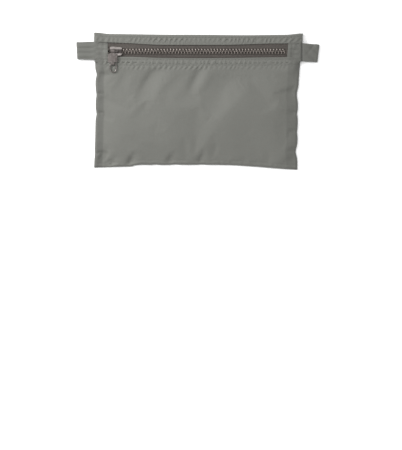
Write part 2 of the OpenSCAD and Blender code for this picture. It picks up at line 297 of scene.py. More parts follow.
def resting_height(u, v):
    """The front without its folds: it rises from the seams, and swells a little below the zip."""
    inset = HALF_W - abs(u)
    sides = 0.6 * edge_rise(inset, 2.2) + 0.4 * smooth((inset - 2) / 22)
    sides = sides + (edge_rise(inset, SIDE_ROUNDING) - sides) * smooth((v - NEAR_ZIP) / 8)
    low = 0.7 * edge_rise(v + HALF_H, 2) + 0.3 * smooth((v + HALF_H - 2) / 20)
    z = seam_height(v) + (LIP_Z - seam_height(v)) * sides * low
    swell = smooth((u + HALF_W - 6) / 75) * smooth((HALF_W - 4 - u) / 75) * 1.35
    return z + SWELL * swell * smooth((v + HALF_H) / 60) * (1 - smooth((v + 8) / 32))


def fold_relief(u, v):
    """The folds and faint waves of the front, which die out at the seams and below the zip."""
    relief = sum(fold(u, v, *one) for one in FOLDS)
    for x, depth in BOTTOM_PUCKERS:
        relief = relief + fold(u, v, ((x + 2, -51), (x, -55), (x - 1, -60)), depth, 3, 4)
    relief = relief + 0.10 * noise(u, v, 13, 3) + 0.03 * noise(u, v, 6, 4)
    calm = (1 - smooth((v - 26) / 6)) * smooth((HALF_W - abs(u)) / 6) * smooth((v + HALF_H) / 3)
    return relief * calm


def side_crinkle(u, v):
    """Crinkles along the side seams, with a dimple where the thread pulls the edge in."""
    inset = HALF_W - abs(u)
    crinkle = 0.25 * noise(v, u * 0, 6, 7) * hill(inset - 4, 4)
    for at, _, _ in LEFT_PULLS:
        crinkle = crinkle - 0.6 * hill(v - at - 1, 1.5) * hill(inset - 3.5, 3.5) * (u < 0)
    for at, _, _ in RIGHT_PULLS:
        crinkle = crinkle - 0.5 * hill(v - at - 1, 1.8) * hill(inset - 3.5, 4) * (u > 0)
    return crinkle * (1 - smooth((v - NEAR_ZIP) / 6))


def front_height(u, v):
    """The outer face of the pouch front, as a height over the flat pattern."""
    inset = HALF_W - abs(u)
    z = resting_height(u, v) + fold_relief(u, v) + side_crinkle(u, v)
    ends = smooth((WINDOW_X + 6 - abs(u)) / 6)
    row_1, row_2 = ZIP_Y - ROW_OFFSETS[0], ZIP_Y - ROW_OFFSETS[1]
    below = 0.15 + 0.23 * smooth((60 - u) / 30)
    z = z + LIP_PUCKERS * ends * pucker(u, v, (row_1 + row_2) / 2, 2.6, 0.3, 11)
    z = z + below * ends * pucker(u, v, row_2 - 2.4, 2.8, 0.4, 15)
    z = z + LIP_CURL * smooth((v - LIP_Y + 2.5) / 2) * ends
    z = z + rows(v, row_1, row_2) + rows(v + HALF_H, BOTTOM_ROW)
    z = z + 0.22 * noise(u, v, 2.6, 9) * hill(v + HALF_H - 2, 1.6)
    return closed_at_seam(above_binding(z, np.minimum(inset, v + HALF_H)), inset)


def band_height(u, v):
    """The outer face of the band above the zip."""
    inset = HALF_W - abs(u)
    z = seam_height(v) + (LIP_Z - seam_height(v)) * edge_rise(inset, SIDE_ROUNDING)
    row_1, row_2 = ZIP_Y + ROW_OFFSETS[0], ZIP_Y + ROW_OFFSETS[1]
    busy = 0.65 + 0.35 * smooth((u + 55) / 20) * smooth((84 - u) / 12)
    z = z + BAND_PUCKERS * busy * pucker(u, v, (row_1 + row_2) / 2, 2.8, 0.45, 21)
    z = z + 0.12 * busy * pucker(u, v, BAND_Y + 1.2, 2, 0.8, 23)
    z = z + LIP_CURL * smooth((BAND_Y + 3 - v) / 2) * smooth((WINDOW_X + 4 - abs(u)) / 6)
    return closed_at_seam(z + rows(v, row_1, row_2), inset)


# ------------------------------------------------------------------ mesh helpers
def mesh_piece(name, points, faces, material):
    """A smooth mesh object from points in millimetres."""
    mesh = bpy.data.meshes.new(name)
    mesh.from_pydata((np.asarray(points, float) * MM).tolist(), [], faces)
    mesh.update()
    mesh.validate()
    piece = bpy.data.objects.new(name, mesh)
    bpy.context.scene.collection.objects.link(piece)
    mesh.materials.append(material)
    mesh.polygons.foreach_set("use_smooth", [True] * len(mesh.polygons))
    return piece


def grid_faces(n_rows, n_columns, close_rows=False):
    """Quads of a grid of points; close_rows joins the last row to the first."""
    faces = []
    for i in range(n_rows if close_rows else n_rows - 1):
        here, there = i * n_columns, (i + 1) % n_rows * n_columns
        for j in range(n_columns - 1):
            faces.append((here + j, here + j + 1, there + j + 1, there + j))
    return faces


def cloth_piece(name, grid, material, thickness=CLOTH, inward=-1):
    """A cloth sheet from a grid of points (rows, columns, 3), given its thickness."""
    n_rows, n_columns = grid.shape[:2]
    piece = mesh_piece(name, grid.reshape(-1, 3), grid_faces(n_rows, n_columns), material)
    solid = piece.modifiers.new("thickness", "SOLIDIFY")
    solid.thickness = thickness * MM
    solid.offset = inward
    return piece


def columns():
    """Places across the pouch, closer together at the side seams."""
    side = np.linspace(HALF_W - 3, HALF_W, 7)
    middle = np.linspace(-HALF_W + 3, HALF_W - 3, 261)
    return np.concatenate([-side[::-1], middle[1:-1], side])


def set_float(piece, name, values):
    attribute = piece.data.attributes.get(name) or piece.data.attributes.new(name, "FLOAT", "POINT")
    attribute.data.foreach_set("value", np.asarray(values, np.float32).ravel())


def seam_shade(u):
    """How much the seam allowance behind the cloth makes it look darker; about 1 beside a seam."""
    strip = np.where(u < 0, LEFT_STRIP, RIGHT_STRIP)
    return np.where(u < 0, LEFT_SHADE, RIGHT_SHADE) * (1 - smooth((HALF_W - abs(u) - strip + 0.8) / 1.6))


def finish_piece(piece, slot, *nodes):
    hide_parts(*nodes)


def lens(x):
    """How far the lower lip follows the opening zip at x: 0 where the chain stays closed."""
    t = np.clip((x - OPEN_FROM) / (OPEN_TO - OPEN_FROM), 0, 1)
    return np.sin(np.pi * t)


def lip_blend(piece, weights):
    """The piece bends between the pouch and the lower lip, by the given weight at each point."""
    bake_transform(piece, "pouch", "lower_lip", start=(0, 0, 0), end=(0, ZIP_Y * MM, 0))
    set_float(piece, "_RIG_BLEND", weights)


# ------------------------------------------------------------------ materials
def start_material(name):
    material = bpy.data.materials.new(name)
    material.use_nodes = True
    tree = material.node_tree
    return material, tree, tree.nodes["Principled BSDF"]


def add(tree, kind, inputs=None, **settings):
    """A node with its settings and inputs; an input may be a number, a colour or a socket."""
    node = tree.nodes.new(kind)
    for key, value in settings.items():
        setattr(node, key, value)
    for key, value in (inputs or {}).items():
        if isinstance(value, bpy.types.NodeSocket):
            tree.links.new(value, node.inputs[key])
        else:
            node.inputs[key].default_value = value
    return node


def calc(tree, operation, a, b=0.0):
    """A sum on one or two sockets or numbers."""
    return add(tree, "ShaderNodeMath", {0: a, 1: b}, operation=operation).outputs[0]


def shade(tree, colour, factor):
    """The colour or vector times a factor, number by number."""
    mix = add(tree, "ShaderNodeVectorMath", {0: colour, 1: factor}, operation="MULTIPLY")
    return mix.outputs[0]


def coordinates(tree):
    """Object coordinates in millimetres: the vector, and its three parts."""
    coords = add(tree, "ShaderNodeTexCoord").outputs["Object"]
    scaled = shade(tree, coords, (1 / MM, 1 / MM, 1 / MM))
    parts = add(tree, "ShaderNodeSeparateXYZ", {0: scaled})
    return scaled, parts.outputs[0], parts.outputs[1], parts.outputs[2]


def ripple(tree, value, pitch):
    """A wave from -1 to 1 along the value."""
    return calc(tree, "SINE", calc(tree, "MULTIPLY", value, 2 * math.pi / pitch))


def noise_node(tree, vector, size, detail=2.0, roughness=0.5):
    inputs = {"Vector": vector, "Scale": 1 / size, "Detail": detail, "Roughness": roughness}
    return add(tree, "ShaderNodeTexNoise", inputs).outputs["Fac"]


def scaled_up(tree, value, amount, start):
    """start plus amount times the value."""
    return calc(tree, "ADD", calc(tree, "MULTIPLY", value, amount), start)


def around_one(tree, value, amount):
    """A socket from 0 to 1 turned into a factor of about 1 plus or minus half the amount."""
    return scaled_up(tree, value, amount, 1 - amount / 2)


def tint(tree, shader, colour, factor):
    """The base colour of a material, times a factor."""
    base = add(tree, "ShaderNodeRGB")
    base.outputs[0].default_value = (*colour, 1)
    tree.links.new(shade(tree, base.outputs[0], factor), shader.inputs["Base Color"])


def bump(tree, height, distance, strength, normal=None):
    inputs = {"Height": height, "Distance": distance * MM, "Strength": strength}
    if normal is not None:
        inputs["Normal"] = normal
    return add(tree, "ShaderNodeBump", inputs).outputs["Normal"]


def woven_material(name, colour, pitch, weave_depth, roughness, sheen=0.0, seam=0.0):
    """Plain woven cloth: threads over and under each other, slight mottling and fine creases.

    seam says how much darker it is where the seam_shade attribute is 1."""
    material, tree, shader = start_material(name)
    vector, x, y, z = coordinates(tree)
    warp = ripple(tree, calc(tree, "ADD", x, z), pitch)
    weft = ripple(tree, calc(tree, "ADD", y, z), pitch)
    weave = calc(tree, "MULTIPLY", warp, weft)
    threads = noise_node(tree, vector, pitch * 1.7, 1.0)
    patches = noise_node(tree, vector, 22, 3.0)
    creases = noise_node(tree, vector, 3.2, 3.0, 0.6)
    factor = around_one(tree, patches, 0.1)
    factor = calc(tree, "MULTIPLY", factor, around_one(tree, threads, 0.16))
    factor = calc(tree, "MULTIPLY", factor, scaled_up(tree, weave, 0.05, 1.0))
    if seam:
        strip = add(tree, "ShaderNodeAttribute", attribute_name="seam_shade").outputs["Fac"]
        factor = calc(tree, "MULTIPLY", factor, scaled_up(tree, strip, -seam, 1.0))
    tint(tree, shader, colour, factor)
    gloss = scaled_up(tree, threads, 0.12, roughness - 0.06)
    tree.links.new(gloss, shader.inputs["Roughness"])
    soft = bump(tree, creases, 0.16, 0.5)
    tree.links.new(bump(tree, weave, weave_depth, 0.6, soft), shader.inputs["Normal"])
    shader.inputs["Specular IOR Level"].default_value = 0.35
    shader.inputs["Sheen Weight"].default_value = sheen
    shader.inputs["Sheen Roughness"].default_value = 0.5
    return material


def zip_tape_material():
    """Herringbone polyester tape: diagonal ribs that turn round every few millimetres."""
    material, tree, shader = start_material("zip_tape_weave")
    vector, x, y, z = coordinates(tree)
    turn = calc(tree, "PINGPONG", calc(tree, "ADD", y, z), 1.4)
    ribs = ripple(tree, calc(tree, "ADD", x, turn), 0.62)
    fuzz = noise_node(tree, vector, 0.5, 2.0)
    patches = noise_node(tree, vector, 14, 2.0)
    factor = around_one(tree, fuzz, 0.45)
    factor = calc(tree, "MULTIPLY", factor, around_one(tree, patches, 0.25))
    factor = calc(tree, "MULTIPLY", factor, scaled_up(tree, ribs, 0.10, 1.0))
    tint(tree, shader, ZIP_TAPE, factor)
    shader.inputs["Roughness"].default_value = 0.8
    shader.inputs["Specular IOR Level"].default_value = 0.25
    tree.links.new(bump(tree, ribs, 0.09, 0.8), shader.inputs["Normal"])
    return material


def thread_material(name, colour):
    """Twisted sewing thread."""
    material, tree, shader = start_material(name)
    _, x, y, _ = coordinates(tree)
    twist = ripple(tree, calc(tree, "ADD", x, calc(tree, "MULTIPLY", y, 1.3)), 0.28)
    tint(tree, shader, colour, scaled_up(tree, twist, 0.12, 1.0))
    shader.inputs["Roughness"].default_value = 0.55
    shader.inputs["Sheen Weight"].default_value = 0.1
    tree.links.new(bump(tree, twist, 0.05, 0.7), shader.inputs["Normal"])
    return material


def metal_material(name, colour, roughness, wear_and_highlight, worn_and_lit, wear_and_highlight_where="patches", lit_rims=(0, 1), banded_highlight=0.0):
    """Plated metal: brighter where rubbed or where a highlight is painted, duller in hollows, finely
    scratched.

    wear_and_highlight_where says where: worn on its edges, worn in patches, or a painted highlight on the
    lit_rims along the zip, which begin and end that far from the zip's centre line. banded_highlight paints
    highlight bands along the zip."""
    material, tree, shader = start_material(name)
    vector, x, y, _ = coordinates(tree)
    blotch = noise_node(tree, vector, 2.4, 3.0, 0.6)
    grain = noise_node(tree, vector, 0.25, 2.0)
    scratches = noise_node(tree, shade(tree, vector, (6, 0.8, 6)), 1.0, 2.0)
    if wear_and_highlight_where == "edges":
        where = {"Value": add(tree, "ShaderNodeNewGeometry").outputs["Pointiness"]}
        where.update({"From Min": 0.5, "From Max": 0.58})
    # painted highlight: bright rims at these distances from the zip's centre line, where the slider's rounded
    # shoulders catch the light
    elif wear_and_highlight_where == "lit_rims":
        where = {"Value": calc(tree, "ABSOLUTE", calc(tree, "SUBTRACT", y, ZIP_Y))}
        where.update({"From Min": lit_rims[0], "From Max": lit_rims[1]})
    else:
        where = {"Value": blotch, "From Min": 0.5, "From Max": 0.8}
    share = add(tree, "ShaderNodeMapRange", where).outputs[0]
    share = calc(tree, "MULTIPLY", share, scaled_up(tree, blotch, 0.7, wear_and_highlight - 0.35))
    # painted highlight: the brighter colour comes and goes in bands that repeat every 62 mm along the zip, as
    # the teeth's highlights do
    if banded_highlight:
        highlight_bands = ripple(tree, calc(tree, "ADD", x, 5), 62)
        share = calc(tree, "MULTIPLY", share, scaled_up(tree, highlight_bands, -banded_highlight, 1.0))
    mix = add(tree, "ShaderNodeMix", {"Factor": share}, data_type="RGBA")
    mix.inputs[6].default_value = (*colour, 1)
    mix.inputs[7].default_value = (*worn_and_lit, 1)
    factor = around_one(tree, blotch, 0.25)
    tree.links.new(shade(tree, mix.outputs[2], factor), shader.inputs["Base Color"])
    shader.inputs["Metallic"].default_value = 1.0
    gloss = scaled_up(tree, scratches, 0.25, roughness - 0.12)
    tree.links.new(gloss, shader.inputs["Roughness"])
    tree.links.new(bump(tree, grain, 0.03, 0.4), shader.inputs["Normal"])
    return material


CLOTH_GREY = (0.110, 0.111, 0.0995)
LOOP_GREY = (0.095, 0.096, 0.0865)
LINING_GREY = (0.100, 0.101, 0.092)
ZIP_TAPE = (0.068, 0.060, 0.054)
THREAD_GREY = (0.122, 0.123, 0.112)
TOOTH_METAL = (0.13, 0.115, 0.105)
# colour of the worn tooth edges, and of the teeth's painted highlight bands
TOOTH_WORN_AND_LIT = (0.50, 0.46, 0.42)
# painted shade: the slider body is coloured dark for the shade round its crown
SLIDER_SHADED_METAL = (0.045, 0.040, 0.038)
BRIDGE_METAL = (0.09, 0.080, 0.076)
# worn metal, and on the slider body the colour of its painted highlights
WORN_AND_LIT_METAL = (0.50, 0.46, 0.44)
PULL_METAL = (0.138, 0.123, 0.117)
RING_METAL = (0.15, 0.137, 0.131)
SPRING_METAL = (0.40, 0.39, 0.38)

cloth = woven_material(
    "pouch_cloth_weave", CLOTH_GREY, pitch=0.42, weave_depth=0.05, roughness=0.62, sheen=0.12, seam=0.21)
# on the loops the seam darkening is a painted shadow, used only in the right loop's groove
loop_cloth = woven_material(
    "loop_tape_weave", LOOP_GREY, pitch=0.55, weave_depth=0.08, roughness=0.66, sheen=0.12, seam=0.55)
lining = woven_material("binding_weave", LINING_GREY, pitch=0.5, weave_depth=0.06, roughness=0.75)
zip_tape = zip_tape_material()
thread = thread_material("sewing_thread", THREAD_GREY)
# teeth: edges worn brighter, with painted highlights in bands along the zip
tooth_metal = metal_material(
    "tooth_metal", TOOTH_METAL, roughness=0.34, wear_and_highlight=0.5, worn_and_lit=TOOTH_WORN_AND_LIT, wear_and_highlight_where="edges", banded_highlight=0.5)
# painted shade and highlight: a dark body with bright rims where its shoulders catch the light
slider_metal = metal_material(
    "slider_metal", SLIDER_SHADED_METAL, roughness=0.36, wear_and_highlight=0.34, worn_and_lit=WORN_AND_LIT_METAL, wear_and_highlight_where="lit_rims", lit_rims=(1.4, 2.5))
bridge_metal = metal_material("bridge_metal", BRIDGE_METAL, roughness=0.34, wear_and_highlight=0.7, worn_and_lit=WORN_AND_LIT_METAL)
pull_metal = metal_material("pull_metal", PULL_METAL, roughness=0.42, wear_and_highlight=0.2, worn_and_lit=WORN_AND_LIT_METAL)
ring_metal = metal_material("ring_metal", RING_METAL, roughness=0.38, wear_and_highlight=0.5, worn_and_lit=WORN_AND_LIT_METAL)
stop_metal = metal_material("stop_metal", ZIP_TAPE, roughness=0.5, wear_and_highlight=0.2, worn_and_lit=TOOTH_METAL)
spring_metal = metal_material("spring_metal", SPRING_METAL, roughness=0.28, wear_and_highlight=0.4, worn_and_lit=WORN_AND_LIT_METAL)


# ------------------------------------------------------------------ pouch cloth
TRIAL_FRAMES = 20
TRIAL_CAP = 1.5         # the furthest that the simulation may move a point


def settle(height):
    """Cloth simulation of the front on a coarse grid; returns its move as a function of (u, v)."""
    step = 2.0
    us = np.arange(-HALF_W, HALF_W + step / 2, step)
    vs = np.arange(-HALF_H, ZIP_Y - ROW_OFFSETS[1] + 1, step)
    gu, gv = np.meshgrid(us, vs)
    x, y = place(gu, gv)
    start = np.stack([x, y, height(gu, gv)], -1)
    piece = mesh_piece("cloth_trial", start.reshape(-1, 3), grid_faces(*gu.shape), cloth)
    held = (abs(gu) > HALF_W - 1) | (gv < -HALF_H + 1) | (gv > 24)
    group = piece.vertex_groups.new(name="held")
    group.add([int(i) for i in np.flatnonzero(held.ravel())], 1.0, "REPLACE")
    sim = piece.modifiers.new("cloth", "CLOTH")
    sim.settings.vertex_group_mass = "held"
    sim.settings.quality = 6
    sim.settings.mass = 0.15
    sim.settings.tension_stiffness = 12
    sim.settings.compression_stiffness = 12
    sim.settings.shear_stiffness = 4
    sim.settings.bending_stiffness = 0.4
    sim.settings.shrink_min = -0.0018
    sim.settings.use_pressure = True
    sim.settings.uniform_pressure_force = 0.1
    sim.settings.effector_weights.gravity = 0.0
    sim.collision_settings.use_collision = False
    sim.point_cache.frame_start = 1
    sim.point_cache.frame_end = TRIAL_FRAMES
    for number in range(1, TRIAL_FRAMES + 1):
        bpy.context.scene.frame_set(number)
    shown = piece.evaluated_get(bpy.context.evaluated_depsgraph_get())
    after = np.array([p.co for p in shown.data.vertices]).reshape(start.shape) / MM
    bpy.context.scene.frame_set(1)
    bpy.data.objects.remove(piece)
    move = after - start
    size = np.linalg.norm(move, axis=-1, keepdims=True)
    move = move * np.minimum(1, TRIAL_CAP / np.maximum(size, 1e-6))

    def sampled(pu, pv):
        fu = np.clip((pu - us[0]) / step, 0, len(us) - 1.001)
        fv = np.clip((pv - vs[0]) / step, 0, len(vs) - 1.001)
        i, j = fv.astype(int), fu.astype(int)
        ti, tj = smooth(fv - i)[..., None], smooth(fu - j)[..., None]
        near = move[i, j] * (1 - tj) + move[i, j + 1] * tj
        far = move[i + 1, j] * (1 - tj) + move[i + 1, j + 1] * tj
        below_zip = (1 - smooth((pv - NEAR_ZIP) / 4))[..., None]
        return (near * (1 - ti) + far * ti) * below_zip

    return sampled


def lip_line(u):
    """The folded edge of the lower lip."""
    bow = LIP_BOW * np.cos(np.clip(u / WINDOW_X, -1, 1) * np.pi / 2) ** 1.5
    return LIP_Y + 0.2 - bow + 0.5 * smooth((-u - 35) / 25)


def band_line(u):
    """The folded edge of the band above the zip."""
    rise = np.where(u < 0, LEFT_BAND_BOW, RIGHT_BAND_BOW)
    return BAND_Y + 0.35 + rise * smooth((abs(u + 4) - 25) / 55)


def add_row(grid, u, v, z):
    """Adds a row of pattern points and heights; a single number holds for the whole row."""
    grid.append(np.broadcast_arrays(u, v, z))


def by_kind(grid):
    """The rows of a grid as three arrays: u, v and z."""
    return np.array(grid).transpose(1, 0, 2)


def make_front():
    """One cloth from the bottom seam up to the lower lip, where it is turned under."""
    us = columns()
    hem = np.linspace(-HALF_H, -HALF_H + 3, 6)
    top = lip_line(us) - FOLD
    grid = []
    for at in np.concatenate([hem, np.linspace(-HALF_H + 3, NEAR_ZIP, 120)[1:]]):
        v = np.full_like(us, at)
        add_row(grid, us, v, front_height(us, v))
    for t in np.linspace(0, 1, 34)[1:]:
        v = NEAR_ZIP + (top - NEAR_ZIP) * t
        add_row(grid, us, v, front_height(us, v))
    edge_z = grid[-1][2]
    for angle in np.linspace(0, np.pi, 7)[1:]:
        add_row(grid, us, top + FOLD * np.sin(angle), edge_z - FOLD * (1 - np.cos(angle)))
    for t in np.linspace(0, 1, 5)[1:]:
        add_row(grid, us, top - TURN_UNDER * t, edge_z - 2 * FOLD)
    u, v, z = by_kind(grid)
    x, y = place(u, v)
    points = np.stack([x, y, z], -1)
    points = points + settle(front_height)(u, v)
    piece = cloth_piece("pouch_front", points, cloth)
    set_float(piece, "seam_shade", seam_shade(u))
    finish_piece(piece, "pouch_cloth", "front_panel", "lower_hem")
    lip_blend(piece, lens(u) * smooth((v - LIP_HINGE) / (ZIP_Y - ROW_OFFSETS[1] - LIP_HINGE)))


def make_back():
    """The back cloth, flat on the table, its edges turned up to the seam."""
    hem = np.linspace(-HALF_H, -HALF_H + 3, 5)
    vs = np.concatenate([hem, np.linspace(-HALF_H + 3, HALF_H - 1.2, 100)[1:]])
    u, v = np.meshgrid(columns(), vs)
    x, y = place(u, v)
    edge = np.minimum(HALF_W - abs(u), v + HALF_H)
    z = BACK_EDGE_Z * (1 - smooth(edge / 4)) + 0.12 * (1 + noise(u, v, 17, 31)) * smooth(edge / 8)
    z = z + (CLOTH + 0.25 - z) * smooth((v - BAND_Y + 1) / 2)
    piece = cloth_piece("pouch_back", np.stack([x, y, z], -1), cloth, inward=1)
    set_float(piece, "seam_shade", seam_shade(u))
    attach(piece, "pouch")
    finish_piece(piece, "pouch_cloth", "back_panel")


def make_band():
    """The band above the zip: turned under at the zip, folded over the top and sewn to the back."""
    us = columns()
    turned = TURN_UNDER * 0.8
    fold_y = band_line(us) + FOLD
    face_z = band_height(us, fold_y)
    shoulder = HALF_H - TOP_BEND
    grid = []
    for t in np.linspace(1, 0, 5)[:-1]:
        add_row(grid, us, fold_y + turned * t, face_z - 2 * FOLD)
    for angle in np.linspace(np.pi, 0, 7)[:-1]:
        add_row(grid, us, fold_y - FOLD * np.sin(angle), face_z - FOLD * (1 - np.cos(angle)))
    for t in np.linspace(0, 1, 22):
        v = fold_y + (shoulder - fold_y) * t
        add_row(grid, us, v, band_height(us, v))
    top_z = grid[-1][2]
    for angle in np.linspace(0, np.pi, 13)[1:]:
        add_row(grid, us, shoulder + TOP_BEND * np.sin(angle), top_z / 2 + top_z / 2 * np.cos(angle))
    for t in np.linspace(0, 1, 8)[1:]:
        add_row(grid, us, shoulder + (BAND_Y + 1 - shoulder) * t, 0)
    u, v, z = by_kind(grid)
    x, y = place(u, v)
    piece = cloth_piece("pouch_top_band", np.stack([x, y, z], -1), cloth)
    set_float(piece, "seam_shade", seam_shade(u) * 0.6)
    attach(piece, "pouch")
    finish_piece(piece, "pouch_cloth", "top_band")


def patch_height(u, v):
    """The cloth at an end of the zip: lower than the lips, and raised over the stop."""
    z = LIP_Z - 0.28 + (seam_height(v) - LIP_Z + 0.2) * (1 - edge_rise(HALF_W - u, SIDE_ROUNDING))
    over_stop = smooth((6.5 - abs(v - ZIP_Y)) / 3.5) * smooth((WINDOW_X + 6 - u) / 7)
    z = z + 0.3 * pucker(v, u, u, 9, 0, 41) + 0.3 * noise(u, v, 3.2, 43)
    z = z + 0.9 * over_stop - 0.2 * hill(u - WINDOW_X - END_ROW, 0.6)
    return closed_at_seam(z, HALF_W - u)


def make_end_patch(name, sign, node):
    """The cloth that closes one end of the zip opening; its inner edge is turned under."""
    side = np.linspace(HALF_W, HALF_W - 1.2, 5)
    inner = WINDOW_X - END_COVER
    vs = np.linspace(LIP_Y - 1.5, BAND_Y + 2.2, 30)
    grid = []
    for at in np.concatenate([side, np.linspace(side[-1], inner, 26)[1:]]):
        u = np.full_like(vs, at)
        add_row(grid, u, vs, patch_height(u, vs))
    edge_z = grid[-1][2]
    for angle in np.linspace(0, np.pi, 7)[1:]:
        turned = inner - FOLD * math.sin(angle)
        add_row(grid, turned, vs, edge_z - FOLD * 0.7 * (1 - math.cos(angle)))
    u, v, z = by_kind(grid)
    x, y = place(sign * u, v)
    points = np.stack([x, y, z], -1)
    shades = LEFT_PATCH_SHADE if sign < 0 else RIGHT_PATCH_SHADE
    shades = shades + 0.4 * seam_shade(sign * u)
    if sign < 0:
        points, shades = points[:, ::-1], shades[:, ::-1]
    piece = cloth_piece(name, points, cloth, thickness=PATCH_CLOTH)
    set_float(piece, "seam_shade", shades)
    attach(piece, "pouch")
    finish_piece(piece, "pouch_cloth", node)


def make_binding(name, node, start, end):
    """Binding tape folded over the raw seam edges inside; start and end are pattern points."""
    u = np.linspace(start[0], end[0], 60)
    v = np.linspace(start[1], end[1], 60)
    along_bottom = start[1] == end[1]
    inward_u = 0 if along_bottom else -np.sign(start[0])
    inward_v = 1 if along_bottom else 0
    low, top, near, far = BINDING_LOW, BINDING_TOP, BINDING_FROM, BINDING_TO
    grid = []
    for inset, z in ((near, low), (far, low), (far + 0.2, (low + top) / 2), (far, top), (near, top)):
        x, y = place(u + inward_u * inset, v + inward_v * inset)
        grid.append(np.stack([x, y, np.full_like(x, z)], -1))
    piece = cloth_piece(name, np.array(grid), lining, thickness=BINDING_CLOTH)
    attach(piece, "pouch")
    finish_piece(piece, "binding_tape", node)


# ------------------------------------------------------------------ zip
def make_tape(name, node, sign):
    """Half of the zip tape, with the thicker beaded edge that the teeth grip."""
    us = np.linspace(lowest(node)[0], highest(node)[0], 175)
    inner, outer = sorted((sign * lowest(node)[1], sign * highest(node)[1]))
    low, top = TAPE_LOW_Z, TAPE_TOP_Z
    middle = (low + top) / 2
    bead = [(inner, middle - 0.3), (inner - 0.25, middle), (inner, middle + 0.3), (inner + 0.6, top + 0.12)]
    upper_face = [(inner + 1.2, top), (inner + 1.6, top - 0.1), (outer, top - 0.1)]
    lower_face = [(outer, low + 0.1), (inner + 1.6, low + 0.1), (inner + 1.2, low), (inner + 0.6, low - 0.12)]
    grid = []
    for distance, z in bead + upper_face + lower_face:
        y = np.full_like(us, distance * sign)
        wave = 0.05 * noise(us, us * 0, 7, 51) * smooth((distance - inner - 1) / 3)
        grid.append(np.stack([us, y, z + wave], -1))
    points = np.array(grid)
    if sign < 0:
        points = points[:, ::-1]
    n_rows, n_columns = points.shape[:2]
    faces = grid_faces(n_rows, n_columns, close_rows=True)
    faces.append([i * n_columns for i in range(n_rows)])
    faces.append([i * n_columns + n_columns - 1 for i in reversed(range(n_rows))])
    piece = mesh_piece(name, points.reshape(-1, 3), faces, zip_tape)
    if sign > 0:
        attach(piece, "pouch")
    else:
        lip_blend(piece, lens(points[..., 0]))
    finish_piece(piece, "zipper_tape", node)


# Half the outline of a tooth seen from above: place along the zip, and away from its centre line.
TOOTH_OUTLINE = ((0.34, -0.9), (0.62, -0.55), (0.62, 0.25), (0.45, 0.8), (0.8, 1.3), (0.8, 2.8))
TOOTH_PITCH = 2.86      # from one tooth of a row to the next


def tooth_template(low, top):
    """Points and faces of one tooth, its edges rounded, reaching towards -y from the tape."""
    mirrored = [(-a, b) for a, b in reversed(TOOTH_OUTLINE)]
    outline = np.array([*TOOTH_OUTLINE, *mirrored])
    step = np.roll(outline, -1, 0) - np.roll(outline, 1, 0)
    normal = np.stack([step[:, 1], -step[:, 0]], -1)
    normal /= np.linalg.norm(normal, axis=1)[:, None]
    centre = outline.mean(0)
    if ((outline - centre) * normal).sum() < 0:
        normal = -normal
    rings = []
    for inset, z in ((0.16, low), (0.0, low + 0.2), (0.0, top - 0.6), (0.1, top - 0.3), (0.28, top)):
        ring = outline - normal * inset
        drop = 0.35 * smooth((outline[:, 1] - 0.6) / 2.0) if z > low + 1 else np.zeros(len(outline))
        rings.append(np.column_stack([ring, z - drop]))
    count = len(outline)
    points = np.vstack(rings)
    faces = []
    for i in range(len(rings) - 1):
        for j in range(count):
            k = (j + 1) % count
            faces.append((i * count + j, i * count + k, (i + 1) * count + k, (i + 1) * count + j))
    last = (len(rings) - 1) * count
    for j in range(count // 2 - 1):
        far = count - 1 - j
        faces.append((last + j, last + j + 1, last + far - 1, last + far))
        faces.append((j, far, far - 1, j + 1))
    return points, faces


def make_teeth(name, node, sign):
    """One row of moulded metal teeth, clamped on the beaded edge of its tape."""
    low, top = lowest(node)[2], highest(node)[2]
    template, template_faces = tooth_template(low, top)
    half_tooth = TOOTH_OUTLINE[-1][0]
    first = lowest(node)[0] + half_tooth
    last = highest(node)[0] - half_tooth
    count = int(round((last - first) / TOOTH_PITCH)) + 1
    points, faces, centres = [], [], []
    for n in range(count):
        x = first + n * TOOTH_PITCH
        moved = template.copy()
        moved[:, 0] += x
        moved[:, 1] = ZIP_Y + sign * moved[:, 1]
        base = n * len(template)
        points.append(moved)
        for face in template_faces:
            ids = [base + i for i in face]
            faces.append(ids if sign < 0 else ids[::-1])
        centres += [x] * len(template)
    piece = mesh_piece(name, np.vstack(points), faces, tooth_metal)
    if sign > 0:
        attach(piece, "pouch")
    else:
        lip_blend(piece, lens(np.array(centres)))
    finish_piece(piece, "zipper_teeth", node)


# ------------------------------------------------------------------ stitching
def thread_tubes(paths):
    """Points and faces of one closed tube for each path."""
    points, faces, count = [], [], 0
    sides = THREAD_SIDES
    angles = np.arange(sides) * 2 * math.pi / sides
    for path in paths:
        heading = np.gradient(path, axis=0)
        heading /= np.linalg.norm(heading, axis=1)[:, None]
        across = np.cross(heading, (0, 0, 1))
        across /= np.linalg.norm(across, axis=1)[:, None]
        up = np.cross(across, heading)
        for p, a, b in zip(path, across, up):
            for angle in angles:
                points.append(p + THREAD_R * (math.cos(angle) * a + math.sin(angle) * b))
        for i in range(len(path) - 1):
            for j in range(sides):
                k = (j + 1) % sides
                at, on = count + i * sides, count + (i + 1) * sides
                faces.append((at + j, on + j, on + k, at + k))
        end = count + (len(path) - 1) * sides
        faces.append([count + j for j in range(sides)])
        faces.append([end + j for j in reversed(range(sides))])
        count += len(path) * sides
    return points, faces


def stitch_path(u, v, along_u, along_v, height):
    """One stitch that lies on the cloth and dives into it at both ends."""
    t = np.linspace(-1, 1, 7)
    pu = u + along_u * t * STITCH_LENGTH / 2
    pv = v + along_v * t * STITCH_LENGTH / 2
    x, y = place(pu, pv)
    z = height(pu, pv) + THREAD_R * 0.9 - 0.45 * abs(t) ** 5
    return np.stack([x, y, z], -1)


def row_places(start, end):
    """The middles of a row of stitches."""
    count = int((end - start) / STITCH_PITCH)
    first = (start + end) / 2 - (count - 1) * STITCH_PITCH / 2
    return [first + n * STITCH_PITCH for n in range(count)]


